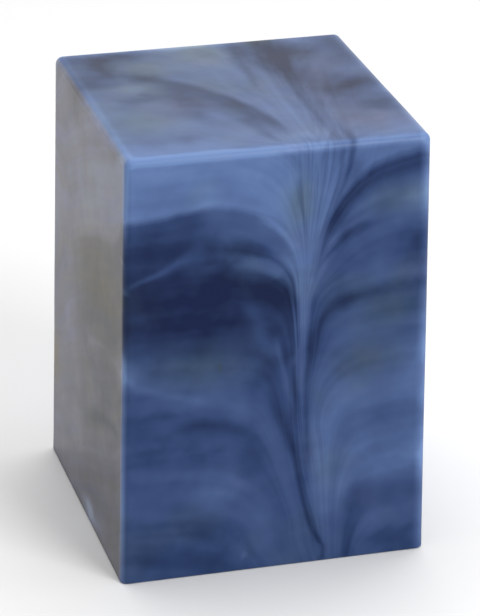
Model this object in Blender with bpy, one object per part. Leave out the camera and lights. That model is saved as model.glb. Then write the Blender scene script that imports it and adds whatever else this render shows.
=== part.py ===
"""Funeral urn: a square, slightly tapered block cast in marbled resin stone, hollow for the ashes,
with a screw plug in its underside.

Metres, +Z up. The origin is the centre of the underside, and the front face looks along -Y.
"""
from math import ceil, cos, floor, pi, radians, tan

import bmesh
import bpy

# Outer form of the casting
HEIGHT = 0.229
FOOT_WIDTH = 0.161
DRAFT = radians(0.75)  # lean of each wall, which lets the casting out of its mould
EDGE_RADIUS = 0.004  # rubbed round on the uprights and around the top
FOOT_CHAMFER = 0.0008

# Ashes chamber
SIDE_WALL = 0.012
TOP_WALL = 0.012
BASE_THICKNESS = 0.016
CHAMBER_RADIUS = 0.008

# Screw plug
THREAD_RADIUS = 0.030  # over the crests
THREAD_PITCH = 0.004
THREAD_FLAT = 1 / 8  # crest and root flats as shares of the pitch, with 45 degree flanks between
FLANGE_LAND = 0.006  # how far the flange reaches past the thread
FLANGE_THICKNESS = 0.003
FLANGE_CHAMFER = 0.0006
PLUG_WALL = 0.003
PLUG_WEB = 0.003  # between the coin slot and the hollow above it
SLOT_LENGTH = 0.040
SLOT_WIDTH = 0.003
SLOT_DEPTH = 0.003

# Fits
PLUG_RECESS = 0.0015  # the flange lies this far above the underside, clear of the table
SEAT_GAP = 0.0003
FLANGE_CLEARANCE = 0.0005
THREAD_CLEARANCE = 0.0004
PLUG_SETBACK = 0.0005  # the plug's inner end stops this far short of the chamber floor

# Smoothness of the round forms
EDGE_STEPS = 6
CHAMBER_STEPS = 4
ROUND_STEPS = 64
THREAD_STEPS = 48
OVERCUT = 0.002  # how far a cutter runs past the face that it opens
WELD = 1e-6
SMOOTH_UP_TO = radians(30)  # faces that meet more sharply than this keep a crisp edge

MARBLE = ("swirled blue marble", (0.083, 0.140, 0.290, 1.0), 0.25)
PLASTIC = ("black plastic", (0.012, 0.012, 0.013, 1.0), 0.45)

# Worked out from the sizes above
THREAD_DEPTH = THREAD_PITCH * (0.5 - THREAD_FLAT)
FLANGE_RADIUS = THREAD_RADIUS + FLANGE_LAND
FLANGE_TOP = PLUG_RECESS + FLANGE_THICKNESS
SEAT_LEVEL = FLANGE_TOP + SEAT_GAP
PLUG_TOP = BASE_THICKNESS - PLUG_SETBACK
HOLLOW_RADIUS = THREAD_RADIUS - THREAD_DEPTH - PLUG_WALL
HOLLOW_FLOOR = PLUG_RECESS + SLOT_DEPTH + PLUG_WEB
UP = (0.0, 0.0, 1.0)


def clear_scene():
    for thing in list(bpy.data.objects):
        bpy.data.objects.remove(thing, do_unlink=True)


def principled(name, colour, roughness):
    material = bpy.data.materials.new(name)
    material.use_nodes = True
    shader = material.node_tree.nodes["Principled BSDF"]
    shader.inputs["Base Color"].default_value = colour
    shader.inputs["Roughness"].default_value = roughness
    shader.inputs["Metallic"].default_value = 0.0
    return material


def make_object(name, form, material=None):
    """Turn a finished bmesh into an object; one with no material is a hidden cutter or core."""
    bmesh.ops.recalc_face_normals(form, faces=form.faces)
    mesh = bpy.data.meshes.new(name)
    form.to_mesh(mesh)
    form.free()
    thing = bpy.data.objects.new(name, mesh)
    bpy.context.collection.objects.link(thing)
    if material:
        mesh.materials.append(material)
        mesh.shade_smooth()
        mesh.set_sharp_from_angle(angle=SMOOTH_UP_TO)
    else:
        thing.hide_render = True
        thing.display_type = "WIRE"
    return thing


def combine(thing, tool, operation):
    step = thing.modifiers.new(f"{operation.lower()} {tool.name}", "BOOLEAN")
    step.operation = operation
    step.solver = "EXACT"
    step.object = tool


def half_width(level, inset=0.0):
    """Half the block's width at a height, or that of a form lying inset behind its walls."""
    return FOOT_WIDTH / 2 - level * tan(DRAFT) - inset / cos(DRAFT)


def drafted_block(low, high, inset=0.0):
    """A square block with leaning walls, and the four edges around its foot."""
    form = bmesh.new()
    corners = bmesh.ops.create_cube(form, size=2.0)["verts"]
    foot = [edge for edge in form.edges if all(vert.co.z < 0 for vert in edge.verts)]
    for corner in corners:
        level = high if corner.co.z > 0 else low
        reach = half_width(level, inset)
        corner.co = (corner.co.x * reach, corner.co.y * reach, level)
    return form, foot


def round_edges(form, edges, radius, steps):
    bmesh.ops.bevel(
        form, geom=edges, offset=radius, offset_type="OFFSET", affect="EDGES",
        segments=steps, profile=0.5, material=-1, clamp_overlap=True,
    )


def disc(radius, low, high):
    form = bmesh.new()
    made = bmesh.ops.create_cone(
        form, cap_ends=True, segments=ROUND_STEPS, radius1=radius, radius2=radius, depth=high - low
    )
    bmesh.ops.translate(form, verts=made["verts"], vec=(0, 0, (low + high) / 2))
    return form


def threaded_rod(crest_radius, low, high):
    """A closed rod with a right-hand thread, in step with any other that this makes.

    The thread's outline over several pitches turns once about +Z while it climbs one pitch, so its
    end meets its start one ridge further up. Both ends are then cut off square and closed.
    """
    root_radius = crest_radius - THREAD_DEPTH
    flat = THREAD_PITCH * THREAD_FLAT
    first = floor(low / THREAD_PITCH) - 2
    last = ceil(high / THREAD_PITCH) + 2
    outline = []
    for turn in range(first, last):
        start = turn * THREAD_PITCH
        outline.append((root_radius, start))
        outline.append((root_radius, start + flat))
        outline.append((crest_radius, start + flat + THREAD_DEPTH))
        outline.append((crest_radius, start + 2 * flat + THREAD_DEPTH))
    outline.append((root_radius, last * THREAD_PITCH))

    form = bmesh.new()
    points = [form.verts.new((radius, 0.0, level)) for radius, level in outline]
    lines = [form.edges.new(pair) for pair in zip(points, points[1:])]
    bmesh.ops.spin(
        form, geom=points + lines, cent=(0, 0, 0), axis=UP, angle=2 * pi, steps=THREAD_STEPS,
        dvec=(0, 0, THREAD_PITCH / THREAD_STEPS),
    )
    bmesh.ops.remove_doubles(form, verts=form.verts, dist=WELD)
    for level, outward in ((low, -1), (high, 1)):
        cut = bmesh.ops.bisect_plane(
            form, geom=form.verts[:] + form.edges[:] + form.faces[:], dist=WELD / 10,
            plane_co=(0, 0, level), plane_no=(0, 0, outward), clear_outer=True,
        )
        rim = [item for item in cut["geom_cut"] if isinstance(item, bmesh.types.BMEdge)]
        bmesh.ops.edgeloop_fill(form, edges=rim)
    return form


def make_urn_body(material):
    block, foot = drafted_block(0.0, HEIGHT)
    round_edges(block, [edge for edge in block.edges if edge not in foot], EDGE_RADIUS, EDGE_STEPS)
    underside = min(block.faces, key=lambda face: face.calc_center_median().z)
    round_edges(block, underside.edges[:], FOOT_CHAMFER, 1)
    body = make_object("urn_body", block, material)

    chamber, _ = drafted_block(BASE_THICKNESS, HEIGHT - TOP_WALL, SIDE_WALL)
    round_edges(chamber, chamber.edges[:], CHAMBER_RADIUS, CHAMBER_STEPS)
    combine(body, make_object("chamber_core", chamber), "DIFFERENCE")

    mouth = threaded_rod(THREAD_RADIUS + THREAD_CLEARANCE, -OVERCUT, BASE_THICKNESS + OVERCUT)
    combine(body, make_object("mouth_thread", mouth), "DIFFERENCE")

    seat = disc(FLANGE_RADIUS + FLANGE_CLEARANCE, -OVERCUT, SEAT_LEVEL)
    combine(body, make_object("flange_seat", seat), "DIFFERENCE")


def make_closure_plug(material):
    flange = disc(FLANGE_RADIUS, PLUG_RECESS, FLANGE_TOP)
    face = min(flange.faces, key=lambda face: face.calc_center_median().z)
    round_edges(flange, face.edges[:], FLANGE_CHAMFER, 1)
    plug = make_object("closure_plug", flange, material)

    shank = threaded_rod(THREAD_RADIUS, PLUG_RECESS + FLANGE_THICKNESS / 2, PLUG_TOP)
    combine(plug, make_object("plug_thread", shank), "UNION")

    hollow = disc(HOLLOW_RADIUS, HOLLOW_FLOOR, PLUG_TOP + OVERCUT)
    combine(plug, make_object("plug_hollow", hollow), "DIFFERENCE")

    slot = bmesh.new()
    sides = bmesh.ops.create_cube(slot, size=1.0)["verts"]
    bmesh.ops.scale(slot, verts=sides, vec=(SLOT_LENGTH, SLOT_WIDTH, SLOT_DEPTH + OVERCUT))
    bmesh.ops.translate(slot, verts=sides, vec=(0, 0, PLUG_RECESS + (SLOT_DEPTH - OVERCUT) / 2))
    combine(plug, make_object("coin_slot", slot), "DIFFERENCE")


clear_scene()
make_urn_body(principled(*MARBLE))
make_closure_plug(principled(*PLASTIC))
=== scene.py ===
# %% [markdown]
# A cast urn and its swirled colour
#
# This lesson dresses a funeral urn: a square block of cultured marble, which is polyester resin
# filled with marble dust. Blue, navy and white pastes are poured into the mould together and a
# stick is drawn through them, so the colour runs through the casting and no two are alike.
# The block is hollow, and a screw plug in its underside closes the ashes chamber.

from math import ceil, cos, e, floor, pi, radians, tan

import bmesh
import bpy
from mathutils import Matrix, Vector, noise


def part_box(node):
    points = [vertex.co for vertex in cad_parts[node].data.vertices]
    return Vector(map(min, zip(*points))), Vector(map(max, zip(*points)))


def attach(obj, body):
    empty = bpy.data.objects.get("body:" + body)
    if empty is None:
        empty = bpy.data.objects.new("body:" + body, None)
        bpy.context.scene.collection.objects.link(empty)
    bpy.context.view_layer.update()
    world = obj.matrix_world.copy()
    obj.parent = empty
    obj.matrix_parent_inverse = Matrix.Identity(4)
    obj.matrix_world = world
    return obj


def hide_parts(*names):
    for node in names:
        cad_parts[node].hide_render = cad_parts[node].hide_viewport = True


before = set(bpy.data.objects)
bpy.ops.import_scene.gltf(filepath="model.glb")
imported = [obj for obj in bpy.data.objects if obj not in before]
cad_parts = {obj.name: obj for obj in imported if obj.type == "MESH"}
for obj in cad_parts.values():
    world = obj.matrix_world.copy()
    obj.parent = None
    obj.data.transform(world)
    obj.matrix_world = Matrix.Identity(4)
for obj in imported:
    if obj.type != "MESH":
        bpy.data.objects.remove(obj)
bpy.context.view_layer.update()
foot_low, foot_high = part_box("urn_body")
HEIGHT = foot_high.z
print("urn:", [round(side * 1000, 1) for side in foot_high - foot_low], "mm")

# %% [markdown]
# The camera stands where the photographer stood, a long way off for so small a thing, which is why
# the uprights look nearly parallel. The angle could be judged by eye. Here it was worked out from
# the block's straight edges, so the distance, the lens and the slight roll belong together.

# %% Camera at the photograph's angle
CAMERA_TURN = radians(-16.02)  # round the urn, from straight in front
CAMERA_DIP = radians(24.21)  # looking down
CAMERA_ROLL = radians(0.84)
CAMERA_PLACE = Vector((-0.4140, -1.4519, 0.7889))
PHOTO_TALL = 616
FOCAL_PIXELS = 3184
SENSOR_TALL = 24.0

camera = bpy.data.objects.new("camera", bpy.data.cameras.new("camera"))
bpy.context.collection.objects.link(camera)
camera.data.sensor_fit = "VERTICAL"
camera.data.sensor_height = SENSOR_TALL
camera.data.lens = FOCAL_PIXELS * SENSOR_TALL / PHOTO_TALL
camera.matrix_world = (
    Matrix.Translation(CAMERA_PLACE)
    @ Matrix.Rotation(CAMERA_TURN, 4, "Z")
    @ Matrix.Rotation(pi / 2 - CAMERA_DIP, 4, "X")
    @ Matrix.Rotation(CAMERA_ROLL, 4, "Z")
)
bpy.context.scene.camera = camera
print("camera:", round(CAMERA_PLACE.length, 2), "m away, lens", round(camera.data.lens), "mm")

# %% [markdown]
# Node maths is easier to read as sums than as a web of links. `Wire` stands for one value that runs
# through a node tree. Adding or multiplying wires adds Math nodes, and `node` adds any other kind.
# A few shapes come up again and again, so each is a method: a soft step, a bell, a drawn line.

# %% A wire that can be used in sums
class Wire:
    """One value in a node tree. Sums on it add Math nodes, and node() adds any other node."""

    def __init__(self, tree, socket=None):
        self.tree = tree
        self.socket = socket

    def plug_into(self, socket, value):
        if isinstance(value, Wire):
            self.tree.links.new(value.socket, socket)
        else:
            socket.default_value = value

    def node(self, kind, settings=None, sockets=None, output=0):
        """Add a node: first its settings, a ramp's stops or a curve's points, then its sockets."""
        made = self.tree.nodes.new("ShaderNode" + kind)
        for name, value in (settings or {}).items():
            if name == "stops":
                set_stops(made.color_ramp, value)
            elif name == "points":
                set_points(made.mapping, value)
            else:
                setattr(made, name, value)
        for name, value in (sockets or {}).items():
            self.plug_into(made.inputs[name], value)
        return Wire(self.tree, made.outputs[output])

    def maths(self, operation, *values):
        made = self.tree.nodes.new("ShaderNodeMath")
        made.operation = operation
        for socket, value in zip(made.inputs, values):
            self.plug_into(socket, value)
        return Wire(self.tree, made.outputs[0])

    def __add__(self, other):
        return self.maths("ADD", self, other)

    def __sub__(self, other):
        return self.maths("SUBTRACT", self, other)

    def __rsub__(self, other):
        return self.maths("SUBTRACT", other, self)

    def __mul__(self, other):
        return self.maths("MULTIPLY", self, other)

    def __truediv__(self, other):
        return self.maths("DIVIDE", self, other)

    def __abs__(self):
        return self.maths("ABSOLUTE", self)

    __radd__ = __add__
    __rmul__ = __mul__

    def times_plus(self, factor, more):
        """self * factor + more, in one node."""
        return self.maths("MULTIPLY_ADD", self, factor, more)

    def towards(self, other, share):
        """This value where share is 0, the other where it is 1, and between them a mix."""
        return self + (other - self) * share

    def fade(self, begin, end):
        """0 before begin, 1 after end and a soft step between; begin may be the larger."""
        return self.node(
            "MapRange", {"interpolation_type": "SMOOTHSTEP"},
            {"Value": self, "From Min": begin, "From Max": end},
        )

    def dwindle(self):
        """1 at nothing, and 2.7 times less for each step up."""
        return self.maths("POWER", 1 / e, self)

    def bell(self, middle, reach):
        """1 at middle, falling away on both sides like a drop spreading in water."""
        off = self.times_plus(1 / reach, -middle / reach)
        return (off * off).dwindle()

    def follow(self, points):
        """A smooth line through (here, there) points, level beyond its ends."""
        first, last = points[0][0], points[-1][0]
        low = min(there for _, there in points)
        high = max(there for _, there in points)
        marks = [
            ((here - first) / (last - first), (there - low) / (high - low)) for here, there in points
        ]
        along = self.node("MapRange", sockets={"Value": self, "From Min": first, "From Max": last})
        return self.node("FloatCurve", {"points": marks}, {"Value": along}).times_plus(high - low, low)


def set_stops(ramp, stops):
    """Give a ramp its (place, value) stops; a value is a tone or a colour."""
    while len(ramp.elements) > 1:
        ramp.elements.remove(ramp.elements[-1])
    for number, (place, value) in enumerate(stops):
        stop = ramp.elements[0] if number == 0 else ramp.elements.new(place)
        stop.position = place
        stop.color = (*value, 1.0) if isinstance(value, tuple) else (value, value, value, 1.0)


def set_points(mapping, points):
    line = mapping.curves[0]
    for point, place in zip(line.points, (points[0], points[-1])):
        point.location = place
    for place in points[1:-1]:
        line.points.new(*place)
    for point in line.points:
        point.handle_type = "AUTO_CLAMPED"
    mapping.extend = "HORIZONTAL"
    mapping.update()


# %% [markdown]
# The photograph has the urn alone on white. The floor could fade into a curved backdrop, but a pale
# sheet that runs well past the picture does the same and keeps it plain. It is matt, so that it
# takes a soft shadow and no mirror image of the urn.

# %% Floor
FLOOR_REACH = 6.0
FLOOR_TONE = 0.80
FLOOR_ROUGHNESS = 0.9
FLOOR_SHINE = 0.1

sheet = bmesh.new()
bmesh.ops.create_grid(sheet, x_segments=2, y_segments=2, size=FLOOR_REACH)
floor_mesh = bpy.data.meshes.new("floor")
sheet.to_mesh(floor_mesh)
sheet.free()
ground = bpy.data.objects.new("floor", floor_mesh)
bpy.context.collection.objects.link(ground)

paper = bpy.data.materials.new("pale floor")
paper.use_nodes = True
paper_shader = paper.node_tree.nodes["Principled BSDF"]
paper_shader.inputs["Base Color"].default_value = (FLOOR_TONE, FLOOR_TONE, FLOOR_TONE, 1.0)
paper_shader.inputs["Roughness"].default_value = FLOOR_ROUGHNESS
paper_shader.inputs["Specular IOR Level"].default_value = FLOOR_SHINE
floor_mesh.materials.append(paper)
print("floor:", 2 * FLOOR_REACH, "m across")

# %% [markdown]
# One large soft light in front and to the right lights the front, and another lights the top. The
# sky is brighter behind the urn, so the top and the left side, seen at a low angle, shine greyer
# than the front. One even sky would be simpler, but would leave all three faces alike.

# %% Lights
SKY_DIM = 0.38  # in front of the urn
SKY_BRIGHT = 1.15  # behind it
SKY_TURNS = (-0.6, 0.9)  # where along the view the one gives way to the other
AIM = Vector((0.0, 0.0, HEIGHT / 2))
SOFTBOXES = [  # name, place, size in metres, power in watts
    ("front light", (1.0, -1.9, 1.5), 1.2, 39.0),
    ("top light", (0.2, 0.4, 2.2), 1.6, 23.0),
]

world = bpy.data.worlds.new("studio")
world.use_nodes = True
bpy.context.scene.world = world
sky = Wire(world.node_tree)
direction = sky.node("TexCoord", output=0)
along = sky.node("SeparateXYZ", sockets={"Vector": direction}, output=1)
background = world.node_tree.nodes["Background"]
background.inputs["Color"].default_value = (1.0, 1.0, 1.0, 1.0)
sky.plug_into(background.inputs["Strength"], along.fade(*SKY_TURNS) * (SKY_BRIGHT - SKY_DIM) + SKY_DIM)

for name, place, size, power in SOFTBOXES:
    lamp = bpy.data.lights.new(name, "AREA")
    lamp.shape = "SQUARE"
    lamp.size = size
    lamp.energy = power
    stand = bpy.data.objects.new(name, lamp)
    bpy.context.collection.objects.link(stand)
    stand.location = place
    stand.rotation_euler = (AIM - Vector(place)).to_track_quat("-Z", "Y").to_euler()
bpy.context.scene.view_settings.view_transform = "Standard"

# %% [markdown]
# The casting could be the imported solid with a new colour, but its rounds are made of flat facets.
# So it is made again, finer, from the same sizes: a cube drawn in towards the top, its edges
# bevelled into rounds, and every long face cut into a grid that can take a hand-rubbed unevenness.

# %% The outside of the casting
DRAFT = radians(0.75)
EDGE_RADIUS = 0.004
FOOT_CHAMFER = 0.0008
EDGE_STEPS = 10
LONG_EDGE = 0.04
GRID_CUTS = 47
FOOT_WIDTH = foot_high.x * 2 + 2 * FOOT_CHAMFER * tan(DRAFT)


def half_width(level, inset=0.0):
    """Half the block's width at a height, or that of a form lying inset behind its walls."""
    return FOOT_WIDTH / 2 - level * tan(DRAFT) - inset / cos(DRAFT)


def drafted_cube(low, high, inset=0.0):
    """A cube pulled into a block with leaning walls, and its top and upright edges."""
    form = bmesh.new()
    corners = bmesh.ops.create_cube(form, size=2.0)["verts"]
    rounded = [edge for edge in form.edges if any(vert.co.z > 0 for vert in edge.verts)]
    for corner in corners:
        level = high if corner.co.z > 0 else low
        reach = half_width(level, inset)
        corner.co = (corner.co.x * reach, corner.co.y * reach, level)
    return form, rounded


def round_over(form, edges, radius, steps):
    bmesh.ops.bevel(
        form, geom=edges, offset=radius, offset_type="OFFSET", affect="EDGES",
        segments=steps, profile=0.5, material=-1, clamp_overlap=True,
    )


def lowest_face(form):
    return min(form.faces, key=lambda face: face.calc_center_median().z)


casting, rounded = drafted_cube(0.0, HEIGHT)
round_over(casting, rounded, EDGE_RADIUS, EDGE_STEPS)
round_over(casting, lowest_face(casting).edges[:], FOOT_CHAMFER, 1)
bmesh.ops.delete(casting, geom=[lowest_face(casting)], context="FACES_ONLY")
long_edges = [edge for edge in casting.edges if edge.calc_length() > LONG_EDGE]
bmesh.ops.subdivide_edges(casting, edges=long_edges, cuts=GRID_CUTS, use_grid_fill=True)
print("outside:", len(casting.faces), "faces")

# %% [markdown]
# Cast faces are ground and polished by hand, which leaves them very slightly uneven. A slow noise
# sinks each point a little along its normal. Nothing rises above the true form, and the foot stays
# flat, so the urn still stands square.

# %% Hand-rubbed unevenness
RUB_DEPTH = 0.00025
RUB_SPREAD = 0.045
FOOT_FLAT = 0.012

casting.normal_update()
sunk = []
for point in casting.verts:
    swell = 0.5 + 0.5 * noise.noise(point.co / RUB_SPREAD)
    rise = min(point.co.z / FOOT_FLAT, 1.0)
    sunk.append((point, point.normal * (RUB_DEPTH * swell * rise)))
for point, step in sunk:
    point.co -= step
print("rubbed down by up to", round(max(step.length for _, step in sunk) * 1000, 2), "mm")

# %% [markdown]
# Underneath, a round mouth leads through the base into the chamber. Its thread is one outline of
# ridges and grooves, spun once round the upright axis while it climbs one pitch. The ends meet one
# ridge further up, and two flat cuts leave the length that the base is thick.

# %% The threaded mouth
THREAD_RADIUS = 0.0304
THREAD_PITCH = 0.004
THREAD_FLAT = THREAD_PITCH / 8
THREAD_DEPTH = THREAD_PITCH / 2 - THREAD_FLAT
THREAD_STEPS = 64
SEAT_LEVEL = 0.0048
SEAT_RADIUS = 0.0365
BASE_THICKNESS = 0.016
WELD = 1e-6


def threaded_wall(low, high):
    """The open, threaded wall of the mouth between two levels."""
    outline = []
    for turn in range(floor(low / THREAD_PITCH) - 2, ceil(high / THREAD_PITCH) + 2):
        start = turn * THREAD_PITCH
        outline.append((THREAD_RADIUS - THREAD_DEPTH, start))
        outline.append((THREAD_RADIUS - THREAD_DEPTH, start + THREAD_FLAT))
        outline.append((THREAD_RADIUS, start + THREAD_FLAT + THREAD_DEPTH))
        outline.append((THREAD_RADIUS, start + 2 * THREAD_FLAT + THREAD_DEPTH))
    wall = bmesh.new()
    points = [wall.verts.new((radius, 0.0, level)) for radius, level in outline]
    lines = [wall.edges.new(pair) for pair in zip(points, points[1:])]
    bmesh.ops.spin(
        wall, geom=points + lines, cent=(0, 0, 0), axis=(0, 0, 1), angle=2 * pi,
        steps=THREAD_STEPS, dvec=(0, 0, THREAD_PITCH / THREAD_STEPS), use_merge=False,
    )
    bmesh.ops.remove_doubles(wall, verts=wall.verts, dist=WELD)
    for level, outward in ((low, -1), (high, 1)):
        bmesh.ops.bisect_plane(
            wall, geom=wall.verts[:] + wall.edges[:] + wall.faces[:], dist=WELD / 10,
            plane_co=(0, 0, level), plane_no=(0, 0, outward), clear_outer=True,
        )
    return wall


mouth = threaded_wall(SEAT_LEVEL, BASE_THICKNESS)
turns = (BASE_THICKNESS - SEAT_LEVEL) / THREAD_PITCH
print("mouth:", len(mouth.faces), "faces,", round(turns, 1), "turns")

# %% [markdown]
# The chamber is the same drafted block again, smaller by the walls and open below. All three skins
# are then sewn into one: the ring of the underside, the seat for the plug's flange, and the
# chamber's floor each fill the flat gap between two loops of edges.

# %% The chamber, sewn to the outside through the mouth
SIDE_WALL = 0.012
TOP_WALL = 0.012
CHAMBER_RADIUS = 0.008
CHAMBER_STEPS = 4
SEAT_STEPS = 96

chamber, _ = drafted_cube(BASE_THICKNESS, HEIGHT - TOP_WALL, SIDE_WALL)
round_over(chamber, chamber.edges[:], CHAMBER_RADIUS, CHAMBER_STEPS)
bmesh.ops.delete(chamber, geom=[lowest_face(chamber)], context="FACES_ONLY")

for skin in (mouth, chamber):
    carrier = bpy.data.meshes.new("carrier")
    skin.to_mesh(carrier)
    skin.free()
    casting.from_mesh(carrier)
    bpy.data.meshes.remove(carrier)


def open_edges(level):
    """The open edges that lie at one level."""
    return [
        edge for edge in casting.edges
        if edge.is_boundary and all(abs(vert.co.z - level) < WELD for vert in edge.verts)
    ]


def fill_ring(edges):
    bmesh.ops.triangle_fill(casting, edges=edges, use_beauty=True, normal=(0, 0, -1))


foot_loop = open_edges(0.0)
seat_points = bmesh.ops.create_circle(casting, segments=SEAT_STEPS, radius=SEAT_RADIUS)["verts"]
seat_edges = list({edge for point in seat_points for edge in point.link_edges})
fill_ring(foot_loop + seat_edges)
raised = bmesh.ops.extrude_edge_only(casting, edges=seat_edges)["geom"]
raised_points = [item for item in raised if isinstance(item, bmesh.types.BMVert)]
bmesh.ops.translate(casting, verts=raised_points, vec=(0, 0, SEAT_LEVEL))
fill_ring(open_edges(SEAT_LEVEL))
fill_ring(open_edges(BASE_THICKNESS))
bmesh.ops.recalc_face_normals(casting, faces=casting.faces)
holes = sum(edge.is_boundary for edge in casting.edges)
print("casting:", len(casting.faces), "faces,", holes, "open edges")

# %% [markdown]
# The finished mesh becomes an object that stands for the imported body. Its rounds are shaded smooth,
# and only edges that really are sharp, such as the thread's and the seat's, stay crisp.

# %% The casting as an object
SMOOTH_UP_TO = radians(25)

body_mesh = bpy.data.meshes.new("marbled_casting")
casting.to_mesh(body_mesh)
casting.free()
body_mesh.shade_smooth()
body_mesh.set_sharp_from_angle(angle=SMOOTH_UP_TO)
body = bpy.data.objects.new("marbled_casting", body_mesh)
bpy.context.collection.objects.link(body)
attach(body, "root")
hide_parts("urn_body")
print("casting holds", round(len(body_mesh.polygons) / 1000), "thousand faces")

# %% [markdown]
# Now the colour, all of it in millimetres. Two tools come first. A cloud is noise of a given size,
# and a seed says which part of that noise is used, so that no two clouds are the same. A drift is
# the same noise, made to wander a little to both sides of nothing.

# %% Places on the urn, in millimetres
TOP = 229.0
HALF_FOOT = 80.5
WALL_LEAN = tan(DRAFT)

marble = bpy.data.materials.new("swirled blue marble")
marble.use_nodes = True
paint = Wire(marble.node_tree)


def in_millimetres(wire):
    """A point's place on the urn, and the same as three separate lengths."""
    metres = wire.node("TexCoord", output=3)
    place = wire.node("VectorMath", {"operation": "SCALE"}, {"Vector": metres, "Scale": 1000.0})
    lengths = [place.node("SeparateXYZ", sockets={"Vector": place}, output=axis) for axis in range(3)]
    return place, *lengths


place, across, back, up = in_millimetres(paint)
depth = back + HALF_FOOT - up * WALL_LEAN  # behind the front face


def noise_at(spot, detail, roughness=0.5, output=0):
    sockets = {"Vector": spot, "Scale": 1.0, "Detail": detail, "Roughness": roughness}
    return spot.node("TexNoise", sockets=sockets, output=output)


def cloud(size, seed, detail=1.0, output=0):
    """Noise about the middle value 0.5, with shapes about size millimetres across."""
    sockets = {0: place, 1: (1 / size,) * 3, 2: (seed, seed * 2, seed * 3)}
    shrunk = place.node("VectorMath", {"operation": "MULTIPLY_ADD"}, sockets)
    return noise_at(shrunk, detail, output=output)


def drift(size, much, seed, detail=1.0):
    """A slow wander between -much and much."""
    return (cloud(size, seed, detail) - 0.5) * (2 * much)


ragged = drift(size=11, much=1.5, seed=5.3, detail=2.0)
print("walls: lean in by", round(TOP * WALL_LEAN, 1), "mm from foot to top")

# %% [markdown]
# The pastes lay in rows, one above the other, before the stick was drawn down through them near the
# middle of the front. It dragged each row along, most on its own path and less and less to the
# sides. So the shader works backwards: from any point it asks how high that bit of paste lay before
# the stroke. The drag differs on the stroke's two sides, so both are worked out and blended.

# %% The height at which each bit of paste was laid
# Each pair is a height on the urn, and what there is at it: the stroke's place across, or how far
# it dragged the rows and how far to the side it still did. Only ROWS_LEAN goes by depth.
STROKE_PATH = [
    (0, 27), (20, 23), (45, 18.5), (70, 15.5), (100, 14), (130, 14), (165, 15.5), (200, 17),
    (229, 19.5), (243, 22), (266, 27), (306, 30),
]
ROWS_LEAN = [(0, 0), (20, 14), (40, 22), (60, 29), (80, 37), (120, 57), (160, 80)]
LEFT_DRAG = [
    (0, 165), (35, 150), (70, 112), (110, 62), (150, 43), (190, 62), (222, 56), (242, 66),
    (310, 66),
]
LEFT_REACH = [
    (0, 20), (12, 19), (30, 14), (70, 12), (110, 10), (148, 7.6), (190, 11.5), (220, 14), (244, 36),
    (310, 37),
]
RIGHT_DRAG = [
    (0, 135), (35, 150), (65, 110), (95, 44), (114, 42), (122, 38), (132, 29), (141, 26), (149, 30),
    (163, 52), (190, 57), (202, 61), (229, 52), (310, 60),
]
RIGHT_REACH = [(0, 8.2), (60, 8.8), (95, 11), (130, 12), (180, 16), (229, 16), (260, 20), (310, 24)]
CORE_DRAG = 75
CORE_REACH = 2.8
SIDES_MEET = [(0, 2.5), (150, 2.5), (205, 10), (300, 12)]  # half the width of their blend
BULGE = 4.6  # how far the rows bulge up to the left of the stroke
SEEN_WANDER = 0.15
SEEN_SWAY = 0.2
HIDDEN_WANDER = 8  # how much more they wander and sway where the photograph doesn't show them

hidden = paint.maths("MAXIMUM", back.fade(35.0, 80.0), across.fade(20.0, 80.0) * back.fade(-60.0, 0.0))
hidden = hidden * up.fade(TOP, 195.0)
bulge = across.bell(-30.0, 24.0) * up.bell(196.0, 26.0) * BULGE
wander = drift(size=70, much=5, seed=3.1) * (hidden * HIDDEN_WANDER + SEEN_WANDER)
level = up + depth.follow(ROWS_LEAN) + wander + ragged - bulge
sway = drift(size=45, much=2, seed=7.7) * (hidden * HIDDEN_WANDER + SEEN_SWAY)
beside = across - level.follow(STROKE_PATH) + sway
away = abs(beside)
on_right = (beside / level.follow(SIDES_MEET)).fade(-1.0, 1.0)


def pull(drag, reach):
    return level.follow(drag) * (away / level.follow(reach)).dwindle()


side_pull = pull(LEFT_DRAG, LEFT_REACH).towards(pull(RIGHT_DRAG, RIGHT_REACH), on_right)
core_pull = (away / CORE_REACH).dwindle() * CORE_DRAG
core_pull = core_pull * level.fade(20.0, 110.0) * level.fade(228.0, 190.0)
laid = level + side_pull + core_pull
print("stroke:", len(STROKE_PATH), "points on its path")

# %% [markdown]
# Each row has a tone from 0, the deepest navy, to 1, the palest blue. The rows on the two sides of
# the stroke had run into different places before it, so each side has a list of its own, as has the
# paste far to the left. Above the front's top edge the lists go on across the top of the urn.

# %% Rows of paste on the front and the top
ROWS_TOP = 380.0
FAR_ROWS = [
    (0, 0.30), (20, 0.26), (29, 0.29), (36, 0.35), (46, 0.36), (58, 0.34), (68, 0.27), (80, 0.29),
    (88, 0.34), (98, 0.38), (112, 0.34), (122, 0.27), (129, 0.14), (136, 0.07), (150, 0.05),
    (160, 0.04), (168, 0.07), (176, 0.09), (186, 0.14), (195, 0.18), (198.5, 0.68), (201, 0.70),
    (205, 0.66), (213, 0.74), (229, 0.80), (245, 0.70), (262, 0.62), (290, 0.50), (300, 0.42),
    (310, 0.30),
]
LEFT_ROWS = [
    (0, 0.32), (20, 0.26), (29, 0.30), (36, 0.38), (49, 0.48), (58, 0.38), (66, 0.28), (78, 0.28),
    (84, 0.26), (91, 0.39), (112, 0.34), (122, 0.28), (132, 0.14), (142, 0.06), (160, 0.03),
    (165, 0.10), (169, 0.34), (173, 0.30), (176.5, 0.12), (180.5, 0.12), (185, 0.38), (195, 0.44),
    (200, 0.72), (205, 0.70), (229, 0.78), (245, 0.68), (260, 0.62), (275, 0.58), (285, 0.24),
    (290.5, 0.18), (295, 0.56), (325, 0.58),
]
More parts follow.
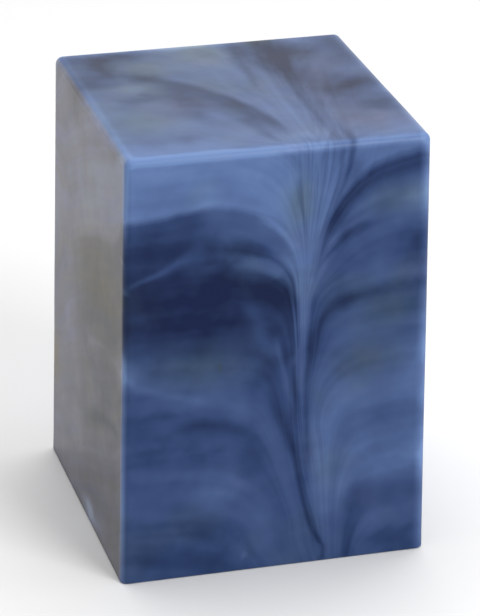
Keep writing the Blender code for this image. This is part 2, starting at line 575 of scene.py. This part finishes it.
RIGHT_ROWS = [
    (0, 0.30), (14, 0.40), (25, 0.38), (31, 0.29), (36, 0.26), (45, 0.38), (58, 0.57), (64, 0.57),
    (73, 0.50), (84, 0.46), (92, 0.54), (110, 0.47), (122, 0.43), (136, 0.36), (145, 0.30),
    (151, 0.18), (158, 0.36), (170, 0.31), (184, 0.30), (194, 0.38), (206, 0.46), (211, 0.30),
    (216, 0.12), (218.5, 0.19), (220, 0.13), (222.5, 0.38), (226, 0.62), (240, 0.62), (256, 0.54),
    (270, 0.47), (290, 0.43), (325, 0.36),
]


def rows(listed, raised=0.0):
    stops = [(height / ROWS_TOP, tone) for height, tone in listed]
    return laid.node("ValToRGB", {"stops": stops}, {"Fac": (laid + raised) / ROWS_TOP})


near_left = (across + drift(size=24, much=9, seed=51.0, detail=2.0)).fade(-54.0, -26.0)
left_tone = rows(FAR_ROWS).towards(rows(LEFT_ROWS, raised=depth.fade(40.0, 75.0) * 2.5), near_left)
tone = left_tone.towards(rows(RIGHT_ROWS), on_right)
print("rows:", len(FAR_ROWS), "far left,", len(LEFT_ROWS), "left and", len(RIGHT_ROWS), "right of it")

# %% [markdown]
# Rows that were dragged a long way have mingled into one colour, and at the very top, over the
# stroke's start, they have worn down to one pale tone. So the further a bit of paste was dragged,
# the less of its own row it keeps.

# %% Paste that mingled in the stroke
MINGLED_TONE = [(0, 0.38), (120, 0.42), (150, 0.56), (229, 0.66)]
MINGLED_FROM = [
    (0, 18), (75, 16), (108, 9), (122, 17), (152, 17), (170, 9), (190, 9), (212, 14), (240, 18),
]
LOW_RIGHT_TONE = [(0, 0.42), (20, 0.48), (50, 0.58), (110, 0.58)]
RIGHT_MINGLED_FROM = 18.0
MINGLED_SHARE = 0.85
WORN_TONE = 0.62

low_right = on_right * level.fade(115.0, 70.0)
mingled_tone = level.follow(MINGLED_TONE).towards(level.follow(LOW_RIGHT_TONE), low_right)
mingled_from = level.follow(MINGLED_FROM).towards(RIGHT_MINGLED_FROM, on_right)
mingled = ((laid - level) / mingled_from).fade(1.0, 4.0) * level.fade(240.0, 200.0)
tone = tone.towards(mingled_tone, mingled * MINGLED_SHARE)
tone = tone.towards(WORN_TONE, laid.fade(266.0, 276.0) * level.fade(252.0, 238.0))
print("mingled paste: tones", min(MINGLED_TONE)[1], "to", max(MINGLED_TONE)[1])

# %% [markdown]
# The casting's left side, seen at a low angle, looks greyer. This is mostly a painted reflection of
# the bright surroundings, laid over the side's own rows of paste. It ends at the front upright, and
# runs round the back corner into the blue. Its rows lie a little higher towards the back, where they
# also mingle into a mid grey.

# %% The left side's rows under a painted grey reflection
SIDE_ROWS = [
    (0, 0.34), (30, 0.33), (55, 0.33), (70, 0.30), (78, 0.34), (90, 0.26), (99, 0.30), (112, 0.34),
    (132, 0.28), (150, 0.20), (175, 0.18), (190, 0.20), (196, 0.30), (201, 0.58), (215, 0.72),
    (240, 0.74), (253, 0.58), (260, 0.68), (280, 0.56), (300, 0.62),
]
SIDE_RAISED = [(0, 0), (8, 1.5), (24, 6.5), (44, 5), (64, 3), (160, 3)]
SIDE_MINGLED_TONE = 0.56

# Where the painted grey reflection lies: the left face, and a strip round the back corner.
side_face_and_reflection = (across + HALF_FOOT - up * WALL_LEAN).fade(2.5, 0.3) * depth.fade(0.5, 7.0)
round_the_back = (across + drift(size=40, much=14, seed=57.0, detail=2.0)).fade(-22.0, -66.0)
round_the_back = round_the_back * (HALF_FOOT - back - up * WALL_LEAN).fade(4.0, 1.4)
side_face_and_reflection = paint.maths("MAXIMUM", side_face_and_reflection, round_the_back * up.fade(TOP, 226.0))
side_mingled = back.fade(0.0, 44.0) * level.fade(240.0, 190.0) * MINGLED_SHARE
side_tone = rows(SIDE_ROWS, raised=depth.follow(SIDE_RAISED)).towards(SIDE_MINGLED_TONE, side_mingled)
tone = tone.towards(side_tone, side_face_and_reflection)
print("side rows:", len(SIDE_ROWS))

# %% [markdown]
# Seen close, the rows near the stroke are full of hair-fine streaks that it combed out with them.
# Noise on the laid height does this: it changes quickly from row to row and slowly along a row, so
# its streaks bend wherever the rows bend. Above the stroke they open out into a fan of ribs.
# Further off the paste only clouds.

# %% Fine streaks and clouds
def streaks(row_size, run, seed):
    """Noise between -0.5 and 0.5 that follows the rows: row_size thick, and run long."""
    spread = {"X": across / run, "Y": back / run, "Z": laid / row_size + seed}
    return noise_at(place.node("CombineXYZ", sockets=spread), detail=1.0) - 0.5


STREAKS = 0.2  # how much each kind of streak and cloud changes the tone
FINE_STREAKS = 0.08
SIDE_STREAKS = 0.16
CLOUDS = 0.13
FAN_MIDDLE = 14.5
FAN_SPREAD = [
    (168, 0.12), (180, 0.33), (193, 0.55), (203, 0.73), (212, 0.87), (229, 1), (243, 1.15),
    (266, 1.5), (306, 2.3),
]
RIB_WIDTH = 2.4
RIB_RUN = 80
RIB_STRENGTH = [(229, 0.5), (250, 0.25)]

fan = (across - FAN_MIDDLE) / level.follow(FAN_SPREAD)
ribs = fan.node("CombineXYZ", sockets={"X": fan / RIB_WIDTH, "Y": level / RIB_RUN})
ribs = noise_at(ribs, detail=2.0, roughness=0.6) - 0.5
tone = tone + ribs * fan.bell(8.0, 24.0) * level.fade(172.0, 192.0) * level.follow(RIB_STRENGTH)
tone = tone + streaks(row_size=9.0, run=60.0, seed=11.0) * STREAKS
tone = tone + streaks(row_size=5.0, run=40.0, seed=23.0) * FINE_STREAKS
tone = tone + drift(size=16, much=CLOUDS, seed=31.0, detail=2.0)
tone = tone + streaks(row_size=5.0, run=90.0, seed=37.0) * side_face_and_reflection * SIDE_STREAKS
print("fan: opens to", round(FAN_SPREAD[-1][1] / FAN_SPREAD[0][1]), "times its first width")

# %% [markdown]
# Paste that missed the stroke stayed in pools. Each pool is an egg-shaped cloud about one spot, and
# noise bends them all, so that none looks like an egg. Two tiny ones on the front-left edge are painted
# glints on small chips. They could be painted on an image, but then they would lie on one face only,
# while these go on round the edges.

# %% Pools
POOLS = [  # middle and reach in millimetres, and how much paler or darker it makes the paste
    ((-58, 56, 229), (6, 20, 8), -0.34),
    ((-66, 52, 229), (12, 20, 8), -0.12),
    ((-42, 68, 229), (11, 8, 8), -0.32),
    ((-73, 30, 229), (12, 9, 8), -0.24),
    ((-40, 31, 229), (9, 7, 8), -0.20),
    ((-45, 35, 229), (13, 8, 8), -0.16),
    ((-63, 38, 229), (10, 7, 8), -0.10),
    ((-27, 18, 229), (8, 8, 8), -0.08),
    ((-66, 22, 229), (12, 9, 8), -0.06),
    ((-60, -42, 229), (12, 10, 8), -0.06),
    ((20, -36, 229), (9, 22, 8), 0.07),
    ((25, 35, 229), (5, 32, 8), -0.10),
    ((17, 45, 229), (3, 25, 8), 0.06),
    ((14, -66, 229), (12, 11, 7), 0.10),
    ((60, 34, 229), (12, 18, 8), -0.06),
    ((62, -16, 229), (9, 7, 8), -0.10),
    ((-52, 18, 229), (10, 7, 8), 0.10),
    ((-48, 3, 229), (13, 6, 8), -0.30),
    ((-30, -8, 229), (8, 10, 8), -0.20),
    ((-26, -26, 229), (7, 16, 8), -0.22),
    ((-55, -56, 229), (18, 7, 8), -0.14),
    ((-40, -12, 229), (18, 11, 8), -0.08),
    ((-70, 10, 229), (10, 10, 8), -0.10),
    ((30, 48, 229), (10, 28, 8), -0.08),
    ((-40, -55, 229), (6, 7, 8), -0.14),
    ((-70, -32, 229), (6, 9, 8), -0.10),
    ((57, -2, 229), (13, 11, 10), -0.40),
    ((69, 5, 229), (9, 8, 10), -0.16),
    ((66, -31, 229), (12, 10, 8), -0.32),
    ((-40, 76, 231), (44, 6, 6), 0.50),
    ((50, 74, 231), (9, 8, 6), 0.34),
    ((-6, 76, 231), (20, 5, 6), 0.28),
    ((17, 52, 229), (6, 26, 10), -0.24),
    ((33, 50, 229), (8, 34, 10), -0.14),
    ((24, 60, 229), (10, 24, 10), -0.14),
    ((47, 53, 229), (8, 10, 10), -0.28),
    ((70, 54, 229), (9, 18, 10), -0.20),
    ((45, 0, 229), (12, 34, 10), -0.10),
    ((74, -79, 172), (8, 12, 11), -0.22),
    ((34, -79, 190), (8, 12, 12), -0.10),
    ((33, -79, 143), (10, 12, 5), -0.14),
    ((40, -80, 106), (12, 10, 8), -0.12),
    ((73, -79, 196), (9, 10, 6), 0.20),
    ((58, -80, 204), (14, 10, 4), -0.07),
    ((39, -80, 214), (5, 10, 8), -0.14),
    ((34, -80, 164), (6, 10, 9), -0.06),
    ((-8, -80, 163), (7, 8, 3.5), 0.12),
    ((31, -80, 183), (5, 10, 7), -0.10),
    ((18, -80, 58), (3, 10, 9), -0.07),
    ((44, -80, 214), (6, 10, 4), -0.07),
    ((60, -80, 181), (8, 10, 4), 0.06),
    ((38, -80, 121), (9, 10, 11), -0.07),
    ((66, -80, 124), (8, 10, 12), -0.05),
    ((27, -80, 82), (4, 10, 8), -0.06),
    ((-79, -79, 117), (8, 10, 8), 0.34),
    ((-79, -79, 206), (6, 6, 22), 0.12),
    ((-71, -80, 94), (9, 10, 8), -0.12),
    ((76, -79, 55), (9, 10, 7), 0.24),
    ((75, -79, 109), (7, 10, 8), 0.14),
    ((65, -80, 9), (13, 10, 7), -0.18),
    ((54, -80, 19), (8, 10, 9), 0.08),
    ((60, -80, 32), (16, 10, 12), 0.04),
    ((66, -80, 60), (12, 10, 6), -0.06),
    ((22, -80, 28), (5, 10, 12), 0.05),
    ((60, -80, 157), (16, 10, 7), 0.06),
    ((69, -80, 190), (9, 10, 11), 0.12),
    ((28, -80, 76), (8, 10, 26), 0.08),
    ((58, -80, 75), (18, 10, 9), -0.05),
    ((-21, -80, 38), (9, 10, 6), -0.08),
    ((-52, -80, 75), (9, 10, 4), -0.08),
    ((-28, -80, 71), (8, 10, 3.5), -0.08),
    ((-41, -80, 25), (10, 10, 5), -0.12),
    ((-70, -80, 13), (11, 10, 5), -0.06),
    ((-34, -80, 7), (8, 10, 5), -0.09),
    ((-15, -80, 4), (9, 10, 5), 0.07),
    ((-9, -80, 24), (6, 10, 12), -0.05),
    ((-21, -80, 11), (6, 10, 6), 0.10),
    ((-28, -80, 50), (13, 10, 6), 0.12),
    ((-14, -80, 63), (9, 10, 9), -0.08),
    ((-14, -80, 168), (9, 12, 5), 0.08),
    ((1, -80, 168), (7, 12, 7), 0.18),
    ((0, -80, 128), (6, 10, 12), 0.06),
    ((-29, -80, 171), (9, 12, 4), -0.23),
    ((-27, -80, 183), (10, 10, 5), 0.15),
    ((-66, -80, 220), (12, 10, 6), 0.09),
    ((-36, -80, 149), (14, 10, 9), -0.05),
    ((-50, -80, 200), (14, 8, 1.8), 0.05),
    ((62, -80, 46), (14, 10, 6), 0.07),
    ((-20, -80, 92), (6, 8, 8), 0.05),
    ((-42, -80, 56), (18, 10, 4), 0.04),
    ((-50, -80, 152), (42, 12, 17), -0.05),
    ((11, -80, 82), (4, 10, 28), -0.08),
    ((-12, -80, 98), (8, 10, 14), -0.08),
    ((-16, -80, 9), (1.5, 8, 2.5), 0.16),
    # Painted glints: small chips in the front-left edge catching the light.
    ((-78, -76, 174), (1.6, 4, 1.8), 0.34),
    ((-78, -76, 160), (1.6, 4, 2.2), 0.26),
    ((-80, -8, 8), (8, 13, 5), 0.50),
    ((-80, 36, 92), (8, 22, 20), 0.13),
    ((-80, -52, 100), (8, 24, 16), -0.13),
    ((-80, -22, 92), (8, 12, 8), -0.08),
    ((-80, 30, 218), (8, 16, 8), -0.20),
    ((-80, -45, 127), (8, 24, 8), -0.14),
    ((-80, 44, 174), (8, 34, 14), -0.11),
    ((-80, 0, 190), (8, 20, 8), -0.06),
    ((-80, 0, 105), (8, 11, 6), 0.10),
    ((-80, 18, 38), (8, 15, 15), 0.17),
    ((-80, 52, 166), (8, 26, 8), -0.06),
    ((-80, -22, 92), (8, 11, 6), -0.05),
    ((-80, -22, 5), (8, 46, 10), 0.26),
    ((-80, -40, 88), (8, 26, 10), -0.08),
    ((-80, 46, 60), (8, 16, 26), -0.04),
]
STIRRED = 12.0  # how far, in all, the noise bends them

scatter = cloud(size=14, seed=41.0, detail=2.0, output=1)
stirred = scatter.node(
    "VectorMath", {"operation": "MULTIPLY_ADD"}, {0: scatter, 1: (STIRRED,) * 3, 2: (-STIRRED / 2,) * 3}
)
stirred = stirred.node("VectorMath", {"operation": "ADD"}, {0: place, 1: stirred})


def pool(middle, reach):
    """A soft egg of paste: 1 at its middle, thinning out over its reach."""
    squeeze = tuple(1 / size for size in reach)
    shift = tuple(-centre / size for centre, size in zip(middle, reach))
    off = stirred.node("VectorMath", {"operation": "MULTIPLY_ADD"}, {0: stirred, 1: squeeze, 2: shift})
    return off.node("VectorMath", {"operation": "DOT_PRODUCT"}, {0: off, 1: off}, output=1).dwindle()


for middle, reach, much in POOLS:
    tone = pool(middle, reach).times_plus(much, tone)
print("pools:", len(POOLS))

# %% [markdown]
# Some of the paste ran, down the front in drips or along it where the mould was tipped. Each vein
# is a soft line along a path, and it has a thickness and a strength that change along it.

# %% Veins
FALLING = [  # path across by height, thickness, and strength by height
    (
        [
            (0, 25), (7, 26.2), (12, 23.6), (20, 19.5), (30, 16.3), (40, 14.1), (50, 12.3),
            (60, 10.4), (70, 7.6), (80, 3.8), (90, 0.2), (100, -2), (112, -4), (125, -5.5),
            (140, -8),
        ],
        [(0, 1.6), (20, 1.7), (50, 2.0), (75, 3.0), (90, 4.2), (140, 4)],
        [(0, -0.12), (8, -0.18), (60, -0.22), (90, -0.18), (112, -0.12), (140, 0)],
    ),
    (
        [(80, 12), (90, 10.6), (98, 9.4), (105, 8.2), (115, 7), (125, 5)],
        [(80, 1.2), (100, 2.0), (125, 2.4)],
        [(80, 0), (90, -0.06), (98, -0.17), (108, -0.19), (115, -0.08), (122, 0)],
    ),
    (
        [(90, 8), (98, 5.8), (108, 3.4), (118, 1.2), (130, -1)],
        [(90, 1.0), (130, 1.8)],
        [(88, 0), (98, 0.04), (106, 0.05), (117, 0.13), (130, 0)],
    ),
    (
        [
            (50, 17), (60, 16.5), (75, 16), (85, 15.6), (95, 15.3), (105, 15.6), (115, 16.8),
            (125, 18), (132, 20), (140, 24),
        ],
        [(50, 2.2), (95, 2.0), (132, 3.2)],
        [(44, 0), (54, -0.14), (80, -0.23), (95, -0.22), (112, -0.26), (125, -0.22), (142, 0)],
    ),
    (
        [(175, 19), (193, 27), (203, 31), (212, 34), (220, 36), (228, 37)],
        [(175, 1.2), (228, 2.6)],
        [(175, 0), (193, -0.1), (212, -0.2), (229, -0.3)],
    ),
    (
        [(190, 24), (205, 28.5), (216, 30.5), (228, 32)],
        [(190, 1.0), (228, 1.6)],
        [(190, 0), (205, -0.1), (228, -0.14)],
    ),
    (
        [(0, 35.5), (10, 35.5), (20, 36), (28, 37), (38, 41), (44, 46)],
        [(0, 6.5), (44, 5)],
        [(0, -0.08), (10, -0.13), (32, -0.16), (46, 0)],
    ),
    (
        [(180, 14), (190, 12.6), (200, 10.5), (212, 9)],
        [(180, 0.8), (200, 1.6), (212, 2.4)],
        [(178, 0), (190, -0.14), (202, -0.18), (214, 0)],
    ),
    (
        [(120, -4), (130, -8), (140, -11), (148, -15), (156, -19)],
        [(120, 5), (156, 4.5)],
        [(116, 0), (128, 0.16), (140, 0.14), (148, 0.07), (155, 0)],
    ),
    (
        [(146, 10), (155, 9), (160, 7.8), (165, 5.5), (170, 2), (175, -4)],
        [(146, 1.2), (160, 1.8), (175, 2.6)],
        [(146, 0), (153, 0.15), (159, 0.21), (166, 0.24), (172, 0.12), (178, 0)],
    ),
    (
        [(130, 9), (138, 8.6), (145, 7.8), (150, 6.6), (155, 4.8), (160, 2)],
        [(130, 1.4), (160, 1.8)],
        [(130, 0), (140, -0.12), (150, -0.2), (158, -0.14), (165, 0)],
    ),
    (
        [(120, 10.6), (130, 10.8), (140, 10.6), (150, 10.8)],
        [(120, 1.4), (150, 1.3)],
        [(118, 0), (130, -0.12), (142, -0.11), (152, 0)],
    ),
    (
        [(118, 16), (130, 16.6), (140, 17.6), (150, 18.5)],
        [(118, 1.6), (150, 1.8)],
        [(116, 0), (128, -0.14), (142, -0.12), (152, 0)],
    ),
    (
        [(160, 18), (170, 19.6), (180, 21.8), (190, 24.5)],
        [(160, 1.4), (190, 1.8)],
        [(156, 0), (168, -0.12), (184, -0.12), (196, 0)],
    ),
    (
        [(176, 8), (182, 3), (188, -4), (192, -12)],
        [(176, 3), (192, 3.4)],
        [(172, 0), (180, 0.08), (188, 0.07), (194, 0)],
    ),
    (
        [(186, 3), (192, -3), (197, -13)],
        [(186, 2), (197, 2.4)],
        [(184, 0), (190, -0.1), (196, -0.06), (199, 0)],
    ),
]
LYING = [  # path up by place across, thickness, and strength by place across
    (
        [(-78, 162), (-68, 166), (-58, 170), (-50, 174), (-40, 179)],
        [(-78, 1.4), (-60, 2.0), (-40, 6)],
        [(-80, 0), (-70, 0.16), (-62, 0.2), (-48, 0.16), (-36, 0)],
    ),
    (
        [(-80, 79), (-60, 81), (-48, 84), (-40, 85), (-30, 83.5), (-20, 79.5), (-12, 74), (-6, 68)],
        [(-80, 2.0), (-40, 3.4), (-6, 3.0)],
        [(-72, 0), (-50, -0.08), (-35, -0.14), (-20, -0.1), (-6, 0)],
    ),
    (
        [(-80, 116), (-70, 108), (-55, 103), (-40, 98), (-30, 93)],
        [(-80, 3), (-30, 2)],
        [(-80, 0.1), (-60, 0.1), (-30, 0)],
    ),
    (
        [(20, 163), (28, 173), (34, 178.5), (40, 182), (48, 184), (60, 185)],
        [(20, 1.6), (40, 3.0), (60, 4)],
        [(20, 0), (26, -0.14), (40, -0.15), (49, -0.05), (60, 0)],
    ),
    (
        [(24, 174), (30, 180.5), (36, 185), (44, 188), (56, 189.5)],
        [(24, 1.2), (56, 2.6)],
        [(24, 0), (30, 0.09), (44, 0.07), (58, 0)],
    ),
]
SIDEWAYS = [  # on the left side: path up by place back, thickness, and strength by place back
    (
        [(-66, 79), (-50, 76.5), (-35, 72), (-20, 66), (-5, 58), (10, 49)],
        [(-66, 3), (-40, 4), (10, 6)],
        [(-72, 0), (-50, -0.28), (-25, -0.26), (0, -0.16), (12, 0)],
    ),
    (
        [(-42, 115), (-25, 110), (-10, 105), (0, 100)],
        [(-42, 1.5), (0, 3)],
        [(-44, 0), (-30, 0.16), (-12, 0.18), (0, 0)],
    ),
]
RUNNING = [  # on the top: path across by place back, thickness, and strength by place back
    (
        [(-77, 30.5), (-40, 29.5), (0, 31), (20, 33), (50, 34), (75, 31)],
        [(-77, 1.1), (-30, 1.8), (0, 3), (20, 5), (75, 7)],
        [(-77, -0.08), (-55, -0.08), (-40, -0.11), (0, -0.2), (30, -0.2), (75, -0.16)],
    ),
    (
        [(-77, 33), (-40, 37), (-10, 41), (15, 44)],
        [(-77, 1.0), (15, 1.8)],
        [(-77, 0.06), (-50, 0.12), (-20, 0.1), (15, 0)],
    ),
    (
        [(8, 12), (20, 13), (45, 13.5), (70, 15)],
        [(8, 2), (70, 3)],
        [(5, 0), (20, -0.16), (45, -0.14), (75, -0.1)],
    ),
    (
        [(-72, 2), (-60, -1), (-50, -3.5), (-35, -7)],
        [(-72, 2.4), (-35, 4)],
        [(-74, 0), (-58, -0.16), (-45, -0.16), (-32, 0)],
    ),
]


def vein(along, aside, path, thickness, strength, onto):
    """A soft line of paste, added onto others."""
    off = (aside - along.follow(path)) / along.follow(thickness)
    return (off * off).dwindle().times_plus(along.follow(strength), onto)


def all_veins(listed, along, aside, onto=0.0):
    for path, thickness, strength in listed:
        onto = vein(along, aside, path, thickness, strength, onto)
    return onto


tone = tone + all_veins(SIDEWAYS, back, up + ragged) * side_face_and_reflection
tone = tone + all_veins(RUNNING, back, across + ragged) * up.fade(214.0, 226.0)
front_veins = all_veins(FALLING, up + ragged * 0.5, across)
tone = tone + all_veins(LYING, across, up + ragged * 0.7, front_veins) * back.fade(-45.0, -72.0)
print("veins:", len(FALLING + LYING), "in front,", len(SIDEWAYS), "on the side,", len(RUNNING), "on top")

# %% [markdown]
# The rounded edges catch the light and shine paler than the flat faces. A see-through resin shader
# would add some of this by itself, but slowly and with noise. Here each edge just gets a painted
# highlight: a paler tone, as wide and as strong as the photograph shows, and patchy on the right.

# %% Painted highlights along the edges
LEFT_EDGE_HIGHLIGHT = [
    (0, 0.34), (50, 0.54), (80, 0.46), (105, 0.46), (119, 0.55), (125, 0.44), (132, 0.1),
    (145, 0.05), (175, 0.05), (190, 0.32), (212, 0.48), (229, 0.52),
]
RIGHT_EDGE_HIGHLIGHT = [
    (0, 0.22), (40, 0.28), (54, 0.37), (68, 0.25), (84, 0.32), (118, 0.34), (140, 0.26),
    (170, 0.22), (200, 0.34), (229, 0.32),
]
FRONT_TOP_HIGHLIGHT = 0.36  # along the front's top edge, at the left
DIMMER_RIGHT = 0.12  # and by how much less at the right
SIDE_TOP_HIGHLIGHT = 0.25
HIGHLIGHT_PATCHES = (0.7, 0.5)  # the least glow in a patch, and how much more there is in the best

side_gap = HALF_FOOT - abs(across) - up * WALL_LEAN
face_gap = HALF_FOOT - abs(back) - up * WALL_LEAN
beside_edge = side_gap.fade(7.0, 1.5)
before_edge = face_gap.fade(5.5, 1.5)
below_edge = (HEIGHT * 1000 - up).fade(5.5, 2.0)
patchy_highlight = cloud(size=24, seed=61.0).fade(0.3, 0.6) * HIGHLIGHT_PATCHES[1] + HIGHLIGHT_PATCHES[0]
# Painted highlights on the rounded top edges, then on the two front uprights.
edge = before_edge * below_edge * (FRONT_TOP_HIGHLIGHT - across.fade(-20.0, 60.0) * DIMMER_RIGHT)
edge = edge + beside_edge * below_edge * patchy_highlight * SIDE_TOP_HIGHLIGHT
right_edge_highlight = beside_edge * face_gap.fade(3.8, 0.8) * patchy_highlight * across.fade(-5.0, 5.0)
left_edge_highlight = side_gap.fade(2.8, 0.2) * depth.fade(7.0, 2.2) * across.fade(5.0, -5.0)
tone = tone + (edge + right_edge_highlight * up.follow(RIGHT_EDGE_HIGHLIGHT) + left_edge_highlight * up.follow(LEFT_EDGE_HIGHLIGHT))
print("edges: paler by up to", max(there for _, there in LEFT_EDGE_HIGHLIGHT))

# %% [markdown]
# Only now does the tone become a colour, through a ramp of five shades for the blue paste and one
# of five for the left side, paler and greyer with its painted reflection. That grey is not one colour
# either: warm and cool seams run through it along its rows. They multiply, so the lights and darks
# underneath stay.

# %% Colours of the paste
SHADES = [
    (0.00, (0.003, 0.010, 0.050)),
    (0.25, (0.022, 0.046, 0.131)),
    (0.50, (0.052, 0.090, 0.215)),
    (0.75, (0.088, 0.148, 0.318)),
    (1.00, (0.135, 0.220, 0.440)),
]
# The left side's shades, with the painted grey reflection of the bright surroundings in them.
SIDE_SHADES_AND_REFLECTION = [
    (0.00, (0.022, 0.028, 0.040)),
    (0.30, (0.077, 0.079, 0.094)),
    (0.55, (0.123, 0.125, 0.161)),
    (0.78, (0.171, 0.189, 0.257)),
    (1.00, (0.235, 0.274, 0.370)),
]
WARM = (1.10, 1.02, 0.86)
COOL = (0.98, 0.97, 1.12)
WARM_BY_HEIGHT = [(0, 0.3), (90, 0.7), (150, 1), (185, 0.3), (229, 0)]
COOL_BY_HEIGHT = [(0, 1), (80, 1), (130, 0.6), (170, 1), (229, 1)]


def blend(share, first, second, blend_type="MIX"):
    """The first colour where share is 0, and the second laid over it where share is 1."""
    settings = {"data_type": "RGBA", "blend_type": blend_type}
    return paint.node("Mix", settings, {0: share, 6: first, 7: second}, output=2)


def stain(share, under, tint):
    """Colour under a thin wash that keeps its lights and darks."""
    return blend(share, under, (*tint, 1.0), "MULTIPLY")


seams = streaks(row_size=8.0, run=80.0, seed=43.0)
blue = tone.node("ValToRGB", {"stops": SHADES}, {"Fac": tone})
side_colour_and_reflection = tone.node("ValToRGB", {"stops": SIDE_SHADES_AND_REFLECTION}, {"Fac": tone})
side_colour_and_reflection = stain(seams.fade(0.02, 0.18) * up.follow(WARM_BY_HEIGHT), side_colour_and_reflection, WARM)
side_colour_and_reflection = stain(seams.fade(-0.02, -0.18) * up.follow(COOL_BY_HEIGHT), side_colour_and_reflection, COOL)
colour = blend(side_face_and_reflection, blue, side_colour_and_reflection)
print("shades:", len(SHADES), "of blue and", len(SIDE_SHADES_AND_REFLECTION), "of grey")

# %% [markdown]
# Pigments that were not quite stirred in leave faint stains of other tints, each in its own places.
# The grey over the whole top is no pigment but a painted reflection of the bright sky. All are thin
# washes over the finished colour, so they too keep what is under them.

# %% Stains, and a painted reflection on the top
GREY_GREEN = (1.10, 1.03, 0.74)
MAUVE = (1.34, 1.0, 0.90)
TOP_REFLECTION_GREY = (1.22, 1.06, 0.88)
BROWN = (1.22, 1.04, 0.62)
CLOUDED_SHARE = 0.4
TINTS = [  # tint, strength, middle and reach of its spots, and the seed of its clouds if it has any
    (GREY_GREEN, 0.9, [
        ((10, -80, 200), (7, 10, 14)), ((-40, -80, 118), (26, 10, 12)),
        ((47, -80, 112), (16, 10, 11)), ((58, -80, 140), (16, 10, 12)),
        ((62, -80, 198), (16, 10, 9)), ((-58, -28, 229), (18, 22, 8)),
        ((-38, 46, 229), (16, 14, 8)), ((-2, 62, 229), (14, 18, 8)), ((-50, 18, 235), (26, 16, 8)),
    ], 81.0),
    # Painted reflection: the top greyed as the bright sky above would grey it.
    (TOP_REFLECTION_GREY, 0.8, [
        ((0, 0, 232), (90, 62, 6)), ((0, 50, 232), (90, 50, 6)), ((24, -60, 234), (50, 18, 7)),
    ], None),
    (MAUVE, 0.7, [
        ((45, 4, 229), (14, 40, 7)), ((60, -50, 229), (22, 14, 6)), ((-28, -8, 229), (11, 14, 8)),
    ], 63.0),
    (BROWN, 1.0, [
        ((-80, -30, 146), (8, 46, 24)), ((-29, -80, 114), (1.3, 6, 2.2)),
        ((-80, 72, 60), (8, 9, 14)), ((30, 74, 229), (9, 8, 8)),
    ], None),
]

for tint, strength, spots, clouded in TINTS:
    share = 0.0
    for middle, reach in spots:
        share = pool(middle, reach) + share
    if clouded:
        share = share + cloud(size=34, seed=clouded, detail=2.0).fade(0.54, 0.74) * CLOUDED_SHARE
    colour = stain(paint.maths("MINIMUM", share, 1.0) * strength, colour, tint)
print("stains:", sum(len(spots) for _, _, spots, _ in TINTS), "spots in", len(TINTS), "tints")

# %% [markdown]
# The last touch is the polish. It is satin all over, wanders a little where the wheel passed, and
# dulls low down and on the ground underside. Its strength is the same everywhere, so it is set on
# the shader itself.

# %% Satin polish
SATIN = 0.3
DULLER_LOW = 0.06
DULLER_UNDER = 0.2
MARBLE_SHINE = 0.115

dullness = drift(size=26, much=0.05, seed=71.0, detail=3.0) + up.fade(6.0, 1.0) * DULLER_LOW
dullness = dullness + up.fade(0.6, 0.1) * DULLER_UNDER + SATIN
marble_shader = marble.node_tree.nodes["Principled BSDF"]
paint.plug_into(marble_shader.inputs["Base Color"], colour)
paint.plug_into(marble_shader.inputs["Roughness"], dullness)
marble_shader.inputs["Specular IOR Level"].default_value = MARBLE_SHINE
body_mesh.materials.append(marble)
print("marble:", len(marble.node_tree.nodes), "nodes")

# %% [markdown]
# The plug is moulded in black plastic. The spark that cut its mould left a fine, even grain, and coins
# have rubbed the ends of its slot smoother and greyer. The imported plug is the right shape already, so
# only its material changes. The grain goes through a Bump node, because it is too fine to model.

# %% Black plastic of the plug
SLOT_END = 19.0
SLOT_WEAR = (4.5, 4.0)  # how far the wear reaches along the slot and beside it
FLANGE_EDGE = 36.0
RIM_WEAR = 1.4
GRAIN_SIZE = 0.35
GRAIN_DEPTH = 0.00003
DUST_SCALE = 0.12  # makes its clouds about 8 mm across
CLEAN_BLACK = (0.010, 0.010, 0.011)
WORN_GREY = (0.050, 0.050, 0.053)
SATIN_PLASTIC = 0.34
GRAIN_DULLS = 0.14
DUST_DULLS = 0.12
WEAR_POLISHES = 0.14

plastic = bpy.data.materials.new("black plastic")
plastic.use_nodes = True
black = Wire(plastic.node_tree)
spot, lengthways, crossways, raised_by = in_millimetres(black)
grain = spot.node("TexNoise", sockets={"Vector": spot, "Scale": 1 / GRAIN_SIZE, "Detail": 2.0})
dust = spot.node("TexNoise", sockets={"Vector": spot, "Scale": DUST_SCALE, "Detail": 3.0})
out_from_middle = black.maths("SQRT", lengthways * lengthways + crossways * crossways)
rubbed = abs(lengthways).bell(SLOT_END, SLOT_WEAR[0]) * crossways.bell(0.0, SLOT_WEAR[1])
rubbed = rubbed * raised_by.fade(5.0, 2.5)
rim = out_from_middle.fade(FLANGE_EDGE - RIM_WEAR, FLANGE_EDGE)
greyed = rubbed * 0.7 + rim * 0.35 + dust.fade(0.45, 0.75) * 0.3
soot = greyed.node("ValToRGB", {"stops": [(0.0, CLEAN_BLACK), (1.0, WORN_GREY)]}, {"Fac": greyed})
pitted = black.node("Bump", sockets={"Strength": 0.5, "Distance": GRAIN_DEPTH, "Height": grain})

plug_shader = plastic.node_tree.nodes["Principled BSDF"]
black.plug_into(plug_shader.inputs["Base Color"], soot)
polish = grain * GRAIN_DULLS + dust * DUST_DULLS - rubbed * WEAR_POLISHES + SATIN_PLASTIC
black.plug_into(plug_shader.inputs["Roughness"], polish)
black.plug_into(plug_shader.inputs["Normal"], pitted)
plug_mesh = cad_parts["closure_plug"].data
plug_mesh.materials.clear()
plug_mesh.materials.append(plastic)
print("plug:", len(plug_mesh.polygons), "faces in black plastic")
